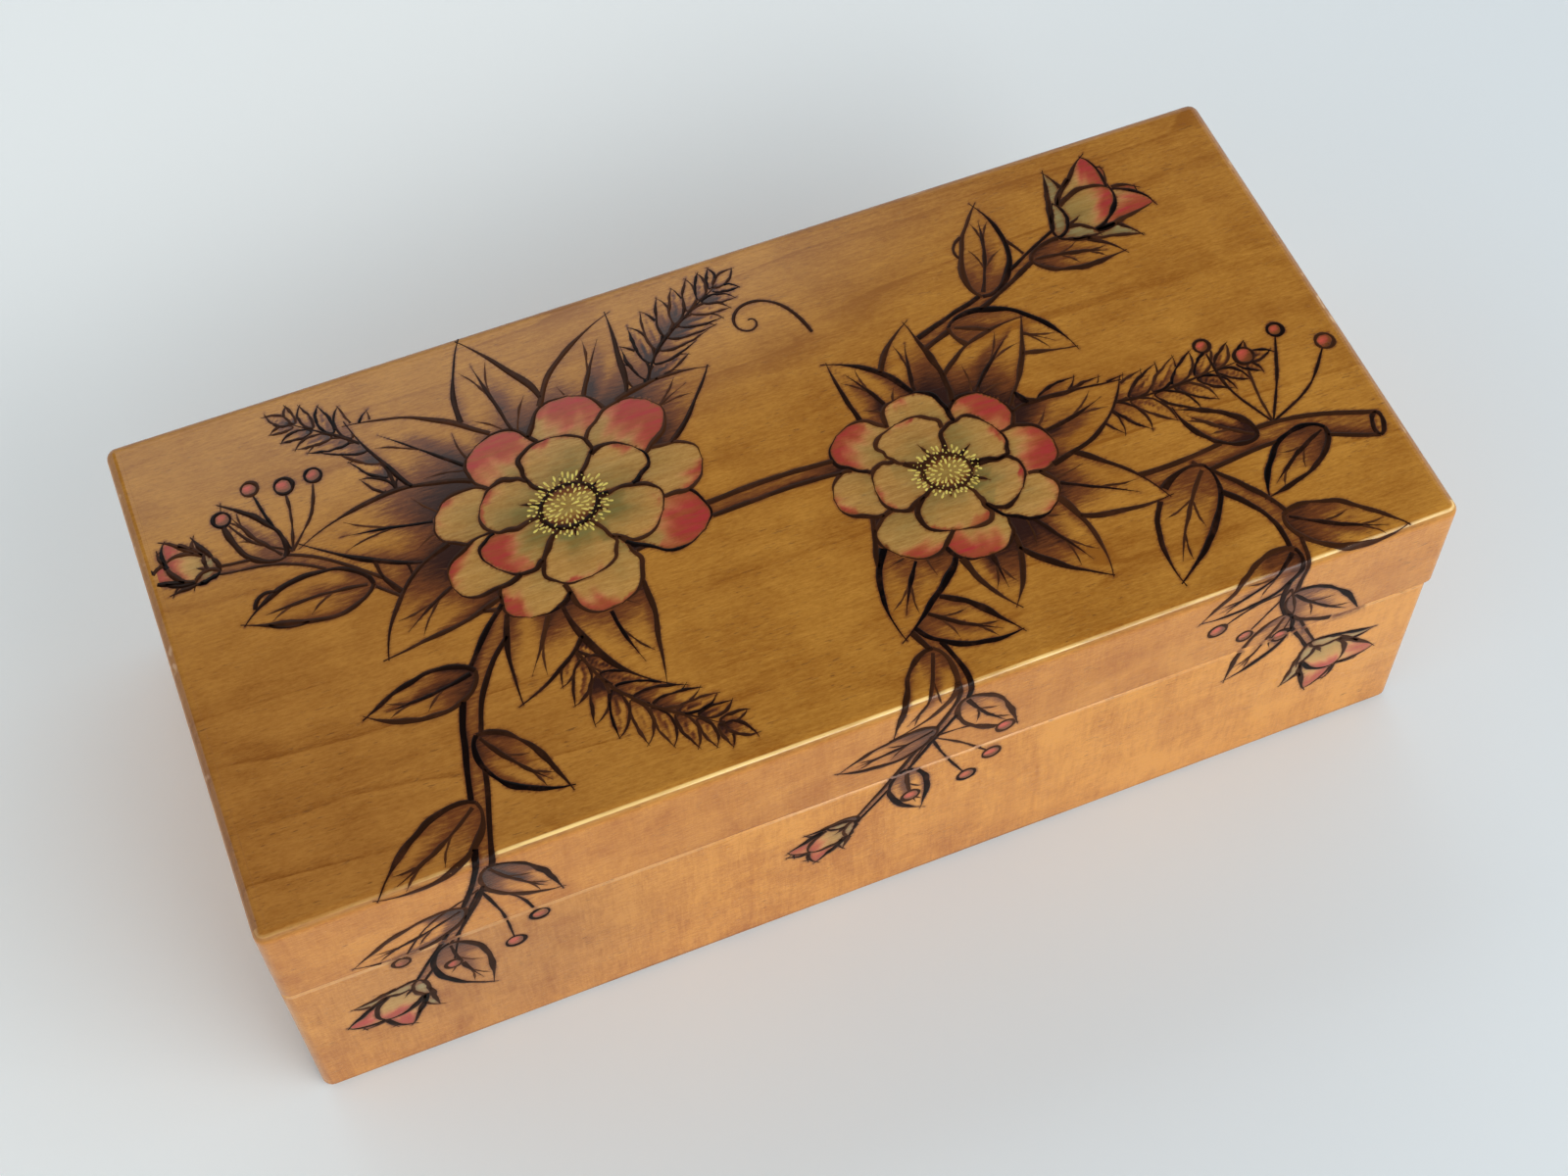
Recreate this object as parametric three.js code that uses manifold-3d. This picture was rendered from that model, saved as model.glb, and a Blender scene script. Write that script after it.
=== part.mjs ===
// A wooden jewelry box with a hinged lid, in millimetres.
// +X runs along the box, -Y is the front and +Z is up. The origin is the middle of the footprint,
// on the surface that the box stands on.
//
// The box is ten boards: a lid and a base, each a frame of four walls round a panel. The front and
// back walls run the full length and are rebated at their ends for the end walls, and all four walls
// are rebated for the panel, so that only a thin lip of wall shows round it. Two brass butt hinges
// are let into the back rims. The back rims are bevelled outside the hinge line, and the two bevels
// meet when the lid stands open, which is what stops it.
import * as THREE from "three";
import { mergeVertices } from "three/addons/utils/BufferGeometryUtils.js";
import Module from "manifold-3d";

// Outer size. The lid runs past the base a little at the right end.
const boxLength = 210;
const boxDepth = 100;
const baseHeight = 39.5;
const lidHeight = 22.4;
const lidOverlap = 1.1;

// Boards and the joints between them
const wallThickness = 8;
const topPanelThickness = 5;
const bottomPanelThickness = 4;
const rebateLip = 2.5;

// Edges as they are sanded
const cornerRound = 2;
const topEdgeRound = 1.8;
const bottomEdgeChamfer = 0.4;
const rimChamfer = 0.3;

// Gap between the two rims when the box is closed
const rimGap = 0.1;

// Hinges: two equal leaves with interleaved knuckles round one pin
const hingeSpacing = 120;
const hingeLength = 25;
const hingeInset = 1.6;
const knuckleCount = 5;
const knuckleGap = 0.2;
const barrelRadius = 1.6;
const pinRadius = 0.75;
const pinClearance = 0.1;
const leafWidth = 5.2;
const leafThickness = 1;
const mortiseClearance = 0.3;
const barrelClearance = 0.3;

// Screws: countersunk, two in each leaf, with a slot across the head
const screwsPerLeaf = 2;
const screwSpacing = 14;
const screwHeadRadius = 1.4;
const screwShankRadius = 0.85;
const screwLength = 7;
const screwTipLength = 1.6;
const screwSlotWidth = 0.5;
const screwSlotDepth = 0.45;
const screwClearance = 0.12;

// The lid comes to rest when the bevels of the two back rims meet
const openAngle = 100;
const bevelSpare = 2;

// Felt-covered pads on the floor of the base and under the lid
const floorPadThickness = 2.5;
const lidPadThickness = 2;
const padCrown = 0.5;
const padCrownReach = 10;
const padCornerRound = 3;
const padSideClearance = 0.4;

// How finely round shapes are divided
const cornerSteps = 5;
const topEdgeSteps = 5;
const padEdgeSteps = 3;
const barrelSides = 24;
const screwSides = 16;

// How far a cutting solid runs past what it cuts, and the least radius of a rounded corner
const past = 3;
const leastRound = 0.1;

// Places that the sizes above fix
const lidEnds = [-boxLength / 2, boxLength / 2];
const baseEnds = [-boxLength / 2, boxLength / 2 - lidOverlap];
const sides = [-boxDepth / 2, boxDepth / 2];
const lidRimZ = baseHeight + rimGap;
const hingeY = sides[1] - hingeInset;
const hingeZ = baseHeight + rimGap / 2;
const bevelAngle = THREE.MathUtils.degToRad((openAngle + bevelSpare) / 2);
const screwY = -(barrelRadius + leafWidth) / 2;

const wasm = await Module();
wasm.setup();

// A closed geometry as a solid that can be cut and joined
function solidOf(geometry) {
  const bare = geometry.index ? geometry.toNonIndexed() : geometry.clone();
  bare.deleteAttribute("normal");
  bare.deleteAttribute("uv");
  const merged = mergeVertices(bare, 1e-4);
  return new wasm.Manifold(
    new wasm.Mesh({
      numProp: 3,
      vertProperties: merged.getAttribute("position").array,
      triVerts: new Uint32Array(merged.index.array),
    }),
  );
}

// A solid as a mesh of the scene
function meshOf(name, solid, material) {
  const { vertProperties, triVerts, numProp } = solid.getMesh();
  const position = new Float32Array((vertProperties.length / numProp) * 3);
  for (let i = 0; i < position.length / 3; i++) {
    position.set(vertProperties.subarray(i * numProp, i * numProp + 3), i * 3);
  }
  const geometry = new THREE.BufferGeometry();
  geometry.setAttribute("position", new THREE.BufferAttribute(position, 3));
  geometry.setIndex(new THREE.BufferAttribute(triVerts, 1));
  geometry.computeVertexNormals();
  const mesh = new THREE.Mesh(geometry, material);
  mesh.name = name;
  return mesh;
}

// A block between two values on each axis. Its corners hold exactly those values, so that boards
// which share one meet face to face.
function block([x0, x1], [y0, y1], [z0, z1]) {
  const geometry = new THREE.BoxGeometry(1, 1, 1);
  const corner = geometry.getAttribute("position");
  for (let i = 0; i < corner.count; i++) {
    const x = corner.getX(i) < 0 ? x0 : x1;
    const y = corner.getY(i) < 0 ? y0 : y1;
    const z = corner.getZ(i) < 0 ? z0 : z1;
    corner.setXYZ(i, x, y, z);
  }
  return solidOf(geometry);
}

// A rod along X, centred on the X axis of its own frame
function rodAlongX(radius, length, segments) {
  const geometry = new THREE.CylinderGeometry(radius, radius, length, segments);
  geometry.rotateZ(Math.PI / 2);
  return solidOf(geometry);
}

// A rounded rectangle swept up through levels of [height, inset from the outline]
function roundedBlock([x0, x1], [y0, y1], radius, levels) {
  const corners = [
    [x1, y1, 1, 1],
    [x0, y1, -1, 1],
    [x0, y0, -1, -1],
    [x1, y0, 1, -1],
  ];
  const points = [];
  for (const [height, inset] of levels) {
    const round = Math.max(radius - inset, leastRound);
    corners.forEach(([x, y, alongX, alongY], quarter) => {
      for (let step = 0; step <= cornerSteps; step++) {
        const turn = ((quarter + step / cornerSteps) * Math.PI) / 2;
        points.push(
          x - alongX * (inset + round) + round * Math.cos(turn),
          y - alongY * (inset + round) + round * Math.sin(turn),
          height,
        );
      }
    });
  }
  const ring = corners.length * (cornerSteps + 1);
  const faces = [];
  for (let level = 0; level + 1 < levels.length; level++) {
    for (let i = 0; i < ring; i++) {
      const a = level * ring + i;
      const b = level * ring + ((i + 1) % ring);
      faces.push(a, b, b + ring, a, b + ring, a + ring);
    }
  }
  const top = (levels.length - 1) * ring;
  for (let i = 1; i + 1 < ring; i++) {
    faces.push(0, i + 1, i, top, top + i, top + i + 1);
  }
  const geometry = new THREE.BufferGeometry();
  geometry.setAttribute("position", new THREE.Float32BufferAttribute(points, 3));
  geometry.setIndex(faces);
  return solidOf(geometry);
}

// Levels of a quarter round at the top of a rounded block
function roundedTop(height, radius, steps) {
  const levels = [];
  for (let step = 0; step <= steps; step++) {
    const turn = ((step / steps) * Math.PI) / 2;
    levels.push([height - radius + radius * Math.sin(turn), radius - radius * Math.cos(turn)]);
  }
  return levels;
}

// The outside of the base, from the surface it stands on up to its rim
function baseOutside() {
  return roundedBlock(baseEnds, sides, cornerRound, [
    [0, bottomEdgeChamfer],
    [bottomEdgeChamfer, 0],
    [baseHeight - rimChamfer, 0],
    [baseHeight, rimChamfer],
  ]);
}

// The outside of the lid, from its rim at height 0 up to its rounded top edge
function lidOutside() {
  const edge = Math.min(topEdgeRound, rebateLip);
  return roundedBlock(lidEnds, sides, cornerRound, [
    [0, rimChamfer],
    [rimChamfer, 0],
    ...roundedTop(lidHeight, edge, topEdgeSteps),
  ]);
}

// A wedge along the back that bevels a rim, from the hinge line outward. It falls away from the
// rim in the base (slope -1) and rises from it in the lid (slope 1).
function rimBevel(rimZ, slope) {
  const run = hingeInset + past;
  const wedge = new THREE.Shape([
    new THREE.Vector2(hingeY, rimZ),
    new THREE.Vector2(hingeY + run, rimZ + slope * run * Math.tan(bevelAngle)),
    new THREE.Vector2(hingeY + run, rimZ - slope * past),
    new THREE.Vector2(hingeY, rimZ - slope * past),
  ]);
  const geometry = new THREE.ExtrudeGeometry(wedge, {
    depth: boxLength + 2 * past,
    bevelEnabled: false,
  });
  // The profile's x and y become the box's Y and Z, and the extrusion runs along X.
  geometry.rotateX(Math.PI / 2);
  geometry.rotateZ(Math.PI / 2);
  geometry.translate(-boxLength / 2 - past, 0, 0);
  return solidOf(geometry);
}

// The pocket that takes one hinge's leaf, barrel and screws, in one rim. side is -1 for the base,
// whose pocket goes down from the rim, and 1 for the lid.
function hingePocket(hingeX, rimZ, axisZ, side) {
  const halfLength = hingeLength / 2 + mortiseClearance;
  const floor = axisZ + side * barrelRadius;
  const open = rimZ - side * past;
  let pocket = block(
    [hingeX - halfLength, hingeX + halfLength],
    [hingeY - leafWidth - mortiseClearance, sides[1] + past],
    [Math.min(floor, open), Math.max(floor, open)],
  );
  const barrel = rodAlongX(barrelRadius + barrelClearance, 2 * halfLength, barrelSides);
  pocket = pocket.add(barrel.translate([hingeX, hingeY, axisZ]));
  for (const x of screwPlaces()) {
    const depth = screwLength - leafThickness + screwClearance;
    const hole = solidOf(
      new THREE.CylinderGeometry(
        screwShankRadius + screwClearance,
        screwShankRadius + screwClearance,
        depth + past / 2,
        screwSides,
      ).rotateX(Math.PI / 2),
    );
    const middle = floor + (side * (depth - past / 2)) / 2;
    pocket = pocket.add(hole.translate([hingeX + x, hingeY + screwY, middle]));
  }
  return pocket;
}

function hingePlaces() {
  return [-hingeSpacing / 2, hingeSpacing / 2];
}

function screwPlaces() {
  const places = [];
  for (let i = 0; i < screwsPerLeaf; i++) {
    places.push((i - (screwsPerLeaf - 1) / 2) * screwSpacing);
  }
  return places;
}

// The four walls of the lid or the base. Each is a board of the outside solid, less its rebates.
// panelZ is the height range of the panel that the walls hold.
function frameWalls(outside, ends, heights, panelZ) {
  const [x0, x1] = ends;
  const [y0, y1] = sides;
  const tall = [heights[0] - past, heights[1] + past];
  const leftX = [x0 - past, x0 + wallThickness];
  const rightX = [x1 - wallThickness, x1 + past];
  const longX = [x0 - past, x1 + past];
  const betweenY = [y0 + rebateLip, y1 - rebateLip];
  const panel = panelBetween(ends, panelZ);
  const endRebates = block(leftX, betweenY, tall).add(block(rightX, betweenY, tall));
  const board = (x, y) => outside.intersect(block(x, y, tall)).subtract(panel);
  return {
    front: board(longX, [y0 - past, y0 + wallThickness]).subtract(endRebates),
    back: board(longX, [y1 - wallThickness, y1 + past]).subtract(endRebates),
    left: board(leftX, betweenY),
    right: board(rightX, betweenY),
  };
}

// The panel that lies in the rebates of four walls
function panelBetween(ends, heights) {
  return block(
    [ends[0] + rebateLip, ends[1] - rebateLip],
    [sides[0] + rebateLip, sides[1] - rebateLip],
    heights,
  );
}

// A felt-covered pad with soft edges. Its flat face is at height 0.
function pad(ends, thickness) {
  const inset = wallThickness + padSideClearance;
  const edge = thickness / 2;
  return roundedBlock(
    [ends[0] + inset, ends[1] - inset],
    [sides[0] + inset, sides[1] - inset],
    padCornerRound,
    [
      [0, 0],
      ...roundedTop(thickness - padCrown, edge, padEdgeSteps),
      [thickness, edge + padCrownReach],
    ],
  );
}

// One hinge leaf round a pin that lies along X. The leaf reaches to -Y and lies on the barrel's
// side that side names: -1 below the pin, for the base, and 1 above it, for the lid. The base leaf
// has the odd knuckles and the lid leaf the even ones.
function hingeLeaf(side) {
  const far = side * barrelRadius;
  const near = side * (barrelRadius - leafThickness);
  const half = hingeLength / 2;
  let leaf = block([-half, half], [-leafWidth, 0], [Math.min(near, far), Math.max(near, far)]);
  const pitch = hingeLength / knuckleCount;
  const own = side < 0 ? 0 : 1;
  for (let i = 0; i < knuckleCount; i++) {
    const middle = -half + (i + 0.5) * pitch;
    if (i % 2 === own) {
      const knuckle = rodAlongX(barrelRadius, pitch - knuckleGap, barrelSides);
      leaf = leaf.add(knuckle.translate([middle, 0, 0]));
    } else {
      const reach = barrelRadius + barrelClearance;
      const gap = [middle - (pitch + knuckleGap) / 2, middle + (pitch + knuckleGap) / 2];
      leaf = leaf.subtract(block(gap, [-reach, past], [-past, past]));
    }
  }
  leaf = leaf.subtract(rodAlongX(pinRadius + pinClearance, hingeLength + 2 * past, barrelSides));
  for (const x of screwPlaces()) {
    leaf = leaf.subtract(screwHole(side).translate([x, screwY, near]));
  }
  return leaf;
}

// A countersunk hole through a leaf, with its wide mouth at height 0 on the leaf's open face
function screwHole(side) {
  const wide = screwHeadRadius + screwClearance;
  const narrow = screwShankRadius + screwClearance;
  const hole = new THREE.LatheGeometry(
    [
      new THREE.Vector2(0, past),
      new THREE.Vector2(wide, past),
      new THREE.Vector2(wide, 0),
      new THREE.Vector2(narrow, -leafThickness),
      new THREE.Vector2(narrow, -leafThickness - past),
      new THREE.Vector2(0, -leafThickness - past),
    ].reverse(),
    screwSides,
  );
  hole.rotateX((-side * Math.PI) / 2);
  return solidOf(hole);
}

// A countersunk screw that points along side on Z, with its slotted head flush with height 0
function screw(side) {
  const body = new THREE.LatheGeometry(
    [
      new THREE.Vector2(0, 0),
      new THREE.Vector2(screwHeadRadius, 0),
      new THREE.Vector2(screwShankRadius, -leafThickness),
      new THREE.Vector2(screwShankRadius, -screwLength + screwTipLength),
      new THREE.Vector2(0, -screwLength),
    ].reverse(),
    screwSides,
  );
  body.rotateX((-side * Math.PI) / 2);
  const slot = block(
    [-screwHeadRadius - past, screwHeadRadius + past],
    [-screwSlotWidth / 2, screwSlotWidth / 2],
    side < 0 ? [-screwSlotDepth, past] : [-past, screwSlotDepth],
  );
  return solidOf(body).subtract(slot);
}

const lidWood = new THREE.MeshStandardMaterial({ color: 0xb97c3a, roughness: 0.35 });
const baseWood = new THREE.MeshStandardMaterial({ color: 0xc88746, roughness: 0.35 });
const brass = new THREE.MeshStandardMaterial({ color: 0xb5954a, roughness: 0.35, metalness: 1 });
const felt = new THREE.MeshStandardMaterial({ color: 0x5a1a20, roughness: 0.95 });

function makeBase() {
  const base = new THREE.Group();
  const walls = frameWalls(baseOutside(), baseEnds, [0, baseHeight], [-past, bottomPanelThickness]);
  const bevel = rimBevel(baseHeight, -1);
  for (const place of Object.keys(walls)) {
    walls[place] = walls[place].subtract(bevel);
  }
  for (const x of hingePlaces()) {
    walls.back = walls.back.subtract(hingePocket(x, baseHeight, hingeZ, -1));
  }
  for (const [place, wall] of Object.entries(walls)) {
    base.add(meshOf(`base_${place}_wall`, wall, baseWood));
  }
  const panel = panelBetween(baseEnds, [0, bottomPanelThickness]);
  base.add(meshOf("base_bottom_panel", panel, baseWood));
  const lining = meshOf("floor_lining", pad(baseEnds, floorPadThickness), felt);
  lining.position.z = bottomPanelThickness;
  base.add(lining);
  return base;
}

function makeLid() {
  const lid = new THREE.Group();
  lid.position.z = lidRimZ;
  const underside = lidHeight - topPanelThickness;
  const walls = frameWalls(lidOutside(), lidEnds, [0, lidHeight], [underside, lidHeight + past]);
  const bevel = rimBevel(0, 1);
  for (const place of Object.keys(walls)) {
    walls[place] = walls[place].subtract(bevel);
  }
  for (const x of hingePlaces()) {
    walls.back = walls.back.subtract(hingePocket(x, 0, hingeZ - lidRimZ, 1));
  }
  for (const [place, wall] of Object.entries(walls)) {
    lid.add(meshOf(`lid_${place}_wall`, wall, lidWood));
  }
  const panel = panelBetween(lidEnds, [underside, lidHeight]);
  lid.add(meshOf("lid_top_panel", panel, lidWood));
  const lining = meshOf("lid_lining", pad(lidEnds, lidPadThickness), felt);
  lining.rotation.x = Math.PI;
  lining.position.z = underside;
  lid.add(lining);
  return lid;
}

function makeHinge(name, hingeX) {
  const hinge = new THREE.Group();
  hinge.position.set(hingeX, hingeY, hingeZ);
  hinge.add(meshOf(`${name}_pin`, rodAlongX(pinRadius, hingeLength, barrelSides), brass));
  for (const [part, side] of [
    ["base", -1],
    ["lid", 1],
  ]) {
    hinge.add(meshOf(`${name}_${part}_leaf`, hingeLeaf(side), brass));
    screwPlaces().forEach((x, i) => {
      const fastener = meshOf(`${name}_${part}_screw_${i + 1}`, screw(side), brass);
      fastener.position.set(x, screwY, side * (barrelRadius - leafThickness));
      hinge.add(fastener);
    });
  }
  return hinge;
}

const box = new THREE.Group();
box.add(makeBase());
box.add(makeLid());
["left_hinge", "right_hinge"].forEach((name, i) => box.add(makeHinge(name, hingePlaces()[i])));

export default box;
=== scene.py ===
import math
from functools import reduce

import bmesh
import bpy
import numpy as np
from mathutils import Matrix, Vector


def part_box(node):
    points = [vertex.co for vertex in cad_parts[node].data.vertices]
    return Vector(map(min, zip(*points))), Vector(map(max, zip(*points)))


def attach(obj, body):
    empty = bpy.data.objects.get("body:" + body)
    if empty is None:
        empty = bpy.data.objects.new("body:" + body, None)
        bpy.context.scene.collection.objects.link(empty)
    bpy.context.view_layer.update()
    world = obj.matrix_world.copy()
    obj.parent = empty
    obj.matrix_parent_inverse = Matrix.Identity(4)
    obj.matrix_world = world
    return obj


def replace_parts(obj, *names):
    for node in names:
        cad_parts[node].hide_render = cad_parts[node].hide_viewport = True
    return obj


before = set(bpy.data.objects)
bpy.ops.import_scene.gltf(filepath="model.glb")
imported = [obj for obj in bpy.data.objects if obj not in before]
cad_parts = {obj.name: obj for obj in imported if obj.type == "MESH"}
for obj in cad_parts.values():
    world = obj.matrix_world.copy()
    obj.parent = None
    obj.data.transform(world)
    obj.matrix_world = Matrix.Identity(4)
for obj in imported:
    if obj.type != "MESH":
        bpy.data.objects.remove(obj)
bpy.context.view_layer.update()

MM = 0.001

# The drawing lies flat in x, along the box, and v, from the back of the top over the front edge and down.
# All its lengths are in millimetres.

FRONT_EDGE = -48.2          # where the flat of the lid's top turns over the front edge
LOW, HIGH = -112.0, 50.0
HALF_LENGTH = 105.0
STEP = 0.25                 # side of one cell of paint and scorch
STROKE_STEP = 0.45          # from point to point along a burnt stroke
BLADE_POINTS = 44           # points along each edge of a leaf or petal
HALO_CELLS = 5              # how far the brown beside a stroke is worked out
GOLDEN_ANGLE = 2.399963
FERN_HALF = 0.3             # half width of a fern's strokes
SEED = 11

CREAM, OLIVE, SEPAL_GREEN = np.array([(0.54, 0.35, 0.125), (0.13, 0.14, 0.045), (0.26, 0.28, 0.14)])
ROSE, PINK = np.array([(0.36, 0.015, 0.032), (0.6, 0.19, 0.1)])
BERRY_DARK, BERRY_LIGHT = np.array([(0.26, 0.012, 0.02), (0.55, 0.06, 0.06)])
BARE = (0.0, 0.0, 0.0, 0.0)
HEART_PAINT = (0.30, 0.24, 0.07, 0.7)

# The drawing so far: the layer that shows in each cell, its paint and its scorch, and all strokes and
# dabs of yellow. Each shape is a layer, which covers the earlier ones.
rng = np.random.default_rng(SEED)
GRID_X = np.arange(-HALF_LENGTH, HALF_LENGTH + STEP / 2, STEP)
GRID_V = np.arange(LOW, HIGH + STEP / 2, STEP)
OWNER = np.zeros((len(GRID_V), len(GRID_X)), int)
PAINT = np.zeros((*OWNER.shape, 4))
SCORCH = np.zeros(OWNER.shape)
layer, strokes, dabs = 0, [], []


def smooth(low, high, value):
    t = np.clip((value - low) / (high - low), 0, 1)
    return t * t * (3 - 2 * t)


def way(angle):
    return np.array([math.cos(angle), math.sin(angle)])


def left_of(direction):
    return np.array([-direction[1], direction[0]])


def circle(count):
    turn = np.linspace(0, 2 * np.pi, count)
    return np.cos(turn), np.sin(turn)


def resample(points, spacing):
    """Points evenly spaced along a line."""
    length = np.concatenate([[0], np.cumsum(np.hypot(*np.diff(points, axis=0).T))])
    count = max(3, int(length[-1] / spacing) + 1)
    at = np.linspace(0, length[-1], count)
    return np.stack([np.interp(at, length, points[:, i]) for i in (0, 1)], 1)


def through(controls, count):
    """A smooth curve through control points."""
    p = np.array(controls, float)
    p = np.vstack([2 * p[0] - p[1], p, 2 * p[-1] - p[-2]])
    out = []
    t = np.linspace(0, 1, 24, endpoint=False)[:, None]
    for a, b, c, d in zip(p, p[1:], p[2:], p[3:]):
        square = (2 * a - 5 * b + 4 * c - d) * t**2
        cube = (3 * b - a - 3 * c + d) * t**3
        out.append(0.5 * (2 * b + (c - a) * t + square + cube))
    out = np.vstack([*out, p[-2:-1]])
    return resample(out, np.hypot(*np.diff(out, axis=0).T).sum() / count)


def tangents(points):
    d = np.gradient(points, axis=0)
    return d / np.maximum(np.hypot(*d.T), 1e-9)[:, None]


def normals(points):
    d = tangents(points)
    return np.stack([-d[:, 1], d[:, 0]], 1)


def inside(x, y, outline):
    x0, y0 = outline.T
    x1, y1 = np.roll(outline, -1, axis=0).T
    crosses = (y0 > y[:, None]) != (y1 > y[:, None])
    where = x0 + (y[:, None] - y0) * (x1 - x0) / np.where(y1 == y0, 1e-9, y1 - y0)
    return (crosses & (x[:, None] < where)).sum(1) % 2 == 1


def stretches(shown):
    """Start and end of each unbroken run of true values that is at least three long."""
    edges = [0, *(np.flatnonzero(np.diff(shown)) + 1), len(shown)]
    return [(a, b) for a, b in zip(edges, edges[1:]) if shown[a] and b - a >= 3]


def blend(a, b, share):
    """Colours from a to b, with a share for each cell."""
    return a * (1 - share)[:, None] + b * share[:, None]


def painted(colours, cover):
    """Paint for each cell: its colour, and how far it covers the wood."""
    return np.column_stack([colours, np.broadcast_to(cover, len(colours))])


def sepal_tone(u, w):
    """Green paint, lighter to one side and burnt at the foot."""
    return 0.35 * smooth(0.5, 0.0, u), painted(SEPAL_GREEN * (0.75 + 0.35 * w)[:, None], 0.78)


def heart_tone(u, w):
    """The middle of an open flower, burnt at its rim."""
    return 0.75 * smooth(0.2, 1.0, np.abs(w)), HEART_PAINT


def new_layer():
    global layer
    layer += 1


def phases():
    return rng.random(3) * 6.28


def wander(count, waves):
    """A smooth random run of numbers, about -1 to 1."""
    t = np.linspace(0, 1, count)
    out = np.zeros(count)
    for k in waves:
        turns = k * t * rng.uniform(0.7, 1.3) + rng.random()
        out += np.sin(2 * np.pi * turns) / math.sqrt(k)
    return out / 2


def stroke(points, half, start, end, wobble=0.12, tone=1.0):
    """A burnt stroke. start and end give its half width at its ends as shares of half."""
    points = resample(points, STROKE_STEP)
    n = len(points)
    t = np.linspace(0, 1, n)
    rise = start + (1 - start) * smooth(0, 0.25, t)
    fall = end + (1 - end) * smooth(0, 0.35, 1 - t)
    waves = tuple(k * max(1, n // 60) for k in (1, 2, 3, 5))
    width = half * np.minimum(rise, fall) * (1 + 0.36 * wander(n, waves))
    tone *= rng.uniform(0.64, 1.0)
    points = points + normals(points) * (wobble * wander(n, waves) * np.sin(np.pi * t))[:, None]
    strokes.append((points, np.maximum(width, 0.05), layer, tone))


def fill(left, right, tone):
    """Covers what lies between two edges.

    tone(u, w) gives scorch and paint, with u from base to tip and w from edge to edge.
    """
    new_layer()
    outline = np.vstack([left, right[::-1]])
    (x0, y0), (x1, y1) = outline.min(0), outline.max(0)
    columns = np.flatnonzero((GRID_X >= x0) & (GRID_X <= x1))
    rows = np.flatnonzero((GRID_V >= y0) & (GRID_V <= y1))
    columns, rows = (part.ravel() for part in np.meshgrid(columns, rows))
    keep = inside(GRID_X[columns], GRID_V[rows], outline)
    columns, rows = columns[keep], rows[keep]
    x, v = GRID_X[columns], GRID_V[rows]
    middle, reach = (left + right) / 2, (left - right) / 2
    away = (x[:, None] - middle[:, 0]) ** 2 + (v[:, None] - middle[:, 1]) ** 2
    k = away.argmin(1)
    u = k / (len(middle) - 1)
    size = np.maximum((reach[k] ** 2).sum(1), 1e-4)
    w = np.clip(((x - middle[k, 0]) * reach[k, 0] + (v - middle[k, 1]) * reach[k, 1]) / size, -1, 1)
    OWNER[rows, columns] = layer
    SCORCH[rows, columns], PAINT[rows, columns] = tone(u, w)


def blade(base, tip, width, bend, profile, tone, half, midrib=0, veins=0, flick=1.2, ruffle=0.05,
          shift=None):
    """A leaf or petal from base to tip: two edges that meet at both ends."""
    along = tip - base
    t = np.linspace(0, 1, BLADE_POINTS)
    u = t[:, None]
    bow = base + along / 2 + left_of(along) * bend
    centre = (1 - u) ** 2 * base + 2 * u * (1 - u) * bow + u**2 * tip
    a, b = profile
    peak = a / (a + b)
    swell = t**a * (1 - t) ** b / (peak**a * (1 - peak) ** b)
    n = normals(centre)
    edges = []
    for sign in (1, -1):
        rough = 1 + ruffle * wander(len(t), (1, 2, 4))
        edges.append(centre + sign * n * (swell * rough * width / 2)[:, None])
    if shift:
        centre, edges = shift(centre), [shift(edge) for edge in edges]
    fill(*edges, tone)
    for edge in edges:
        on = edge[-1] - edge[-4]
        on /= max(np.hypot(*on), 1e-9)
        past_tip = edge[-1] + on * flick * rng.uniform(0.2, 1)
        stroke(np.vstack([edge, past_tip]), half, 0.75, 0.2)
    if midrib:
        stroke(centre[2 : int(BLADE_POINTS * midrib)], half * 0.72, 0.9, 0.1)
    for i in range(veins):
        k = int(BLADE_POINTS * (0.16 + 0.6 * (i + 0.5) / veins))
        far = min(k + 9, BLADE_POINTS - 1)
        for edge in edges if rng.random() < 0.7 else edges[:1]:
            goal = centre[far] * 0.3 + edge[far] * 0.7
            bow = (centre[k] + goal) / 2 + (centre[far] - centre[k]) * 0.12
            stroke(through([centre[k], bow, goal], 12), half * 0.4, 0.9, 0.1, 0.05, 0.7)


def leaf_tone(strength):
    """Burnt brown shade: from the base, down one half, or round the rim."""
    side = rng.choice([-1, 1])
    root_to = rng.uniform(0.35, 0.9)
    core = rng.uniform(0.9, 1.3) * strength
    half_dark = rng.uniform(0.5, 1.25) * strength * (rng.random() < 0.8)
    rim = rng.uniform(0.3, 0.9) * strength
    phase = phases()

    def tone(u, w):
        s = w * side
        ragged = 0.10 * np.sin(9 * u + 3 * w + phase[0]) + 0.06 * np.sin(21 * u - 5 * w + phase[1])
        root = core * smooth(root_to + ragged, 0.04, u) ** 1.25 * (0.75 + 0.25 * np.abs(w))
        half = half_dark * smooth(0.85 + ragged, 0.0, s) * (s > -0.04) * smooth(1.0, 0.35, u + ragged)
        edge = rim * smooth(0.4 + ragged, 1.0, -s) * smooth(1.05, 0.4, u)
        return np.maximum(np.maximum(root, half), edge), BARE

    return tone


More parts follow.
